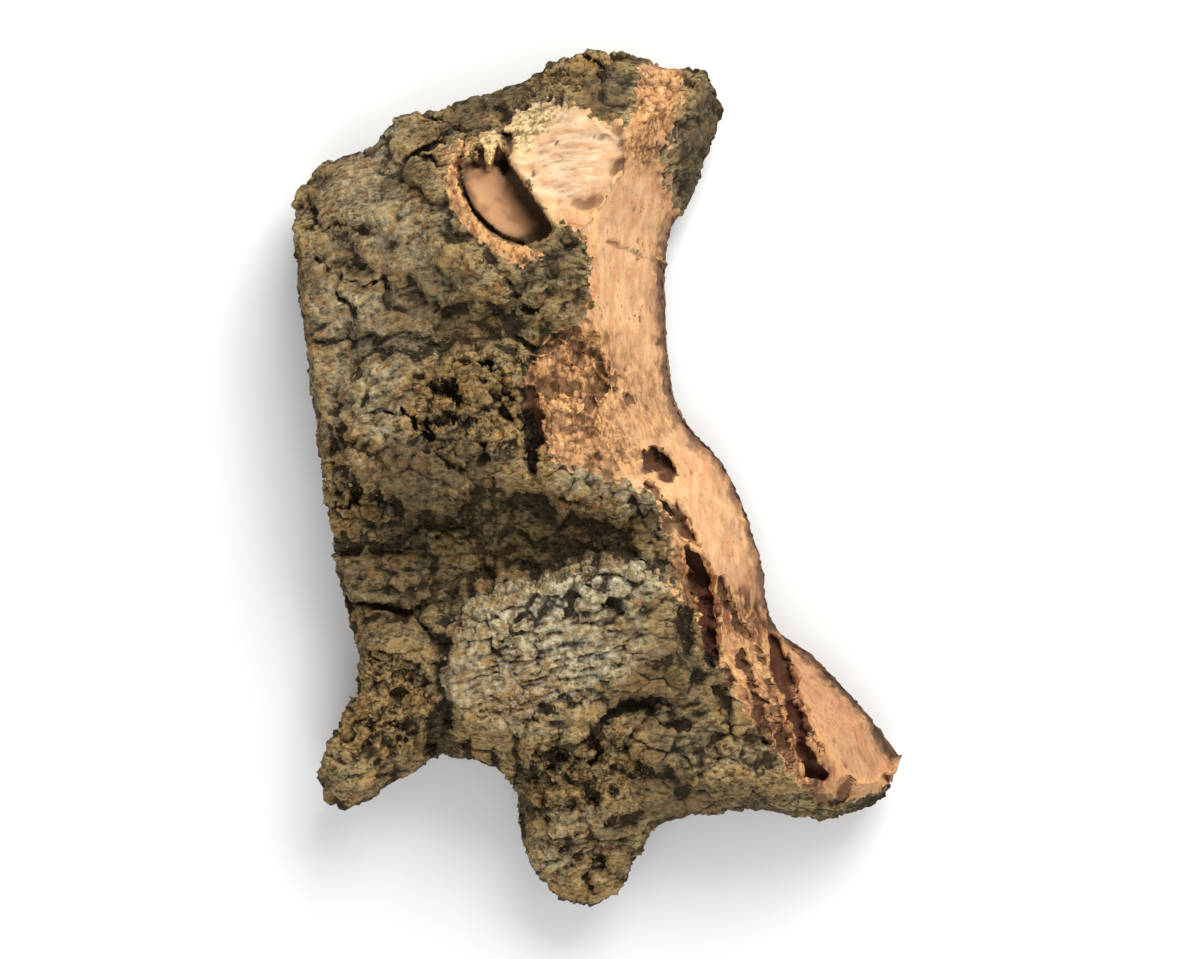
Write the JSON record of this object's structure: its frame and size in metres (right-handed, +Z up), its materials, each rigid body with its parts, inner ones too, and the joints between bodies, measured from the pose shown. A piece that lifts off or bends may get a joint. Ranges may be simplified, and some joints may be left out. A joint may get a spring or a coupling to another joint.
{
  "type": "cork bark slab",
  "caption": "Rough slab of virgin cork bark with weathered plates, a deep furrow, an oval pocket and a fresh broken face down one side, for planting, terrariums and displays.",
  "frame": {"origin": "middle of the slab's box in X and Y, at the level of the surface that it lies on", "axes": "+X across the slab towards its freshly broken side, +Y along it towards the end with the oval pocket, +Z up, out of the bark's outer face"},
  "size_m": [0.0846, 0.1192, 0.0291],
  "materials": {
    "cork_bark": "dry unsealed bark: grey-brown weathered plates with golden crumbs in the furrows, dark cracks, and pinkish orange cork where it is freshly broken"
  },
  "bodies": {
    "root": {"cork_bark_slab": "cork_bark"}
  },
  "joints": []
}
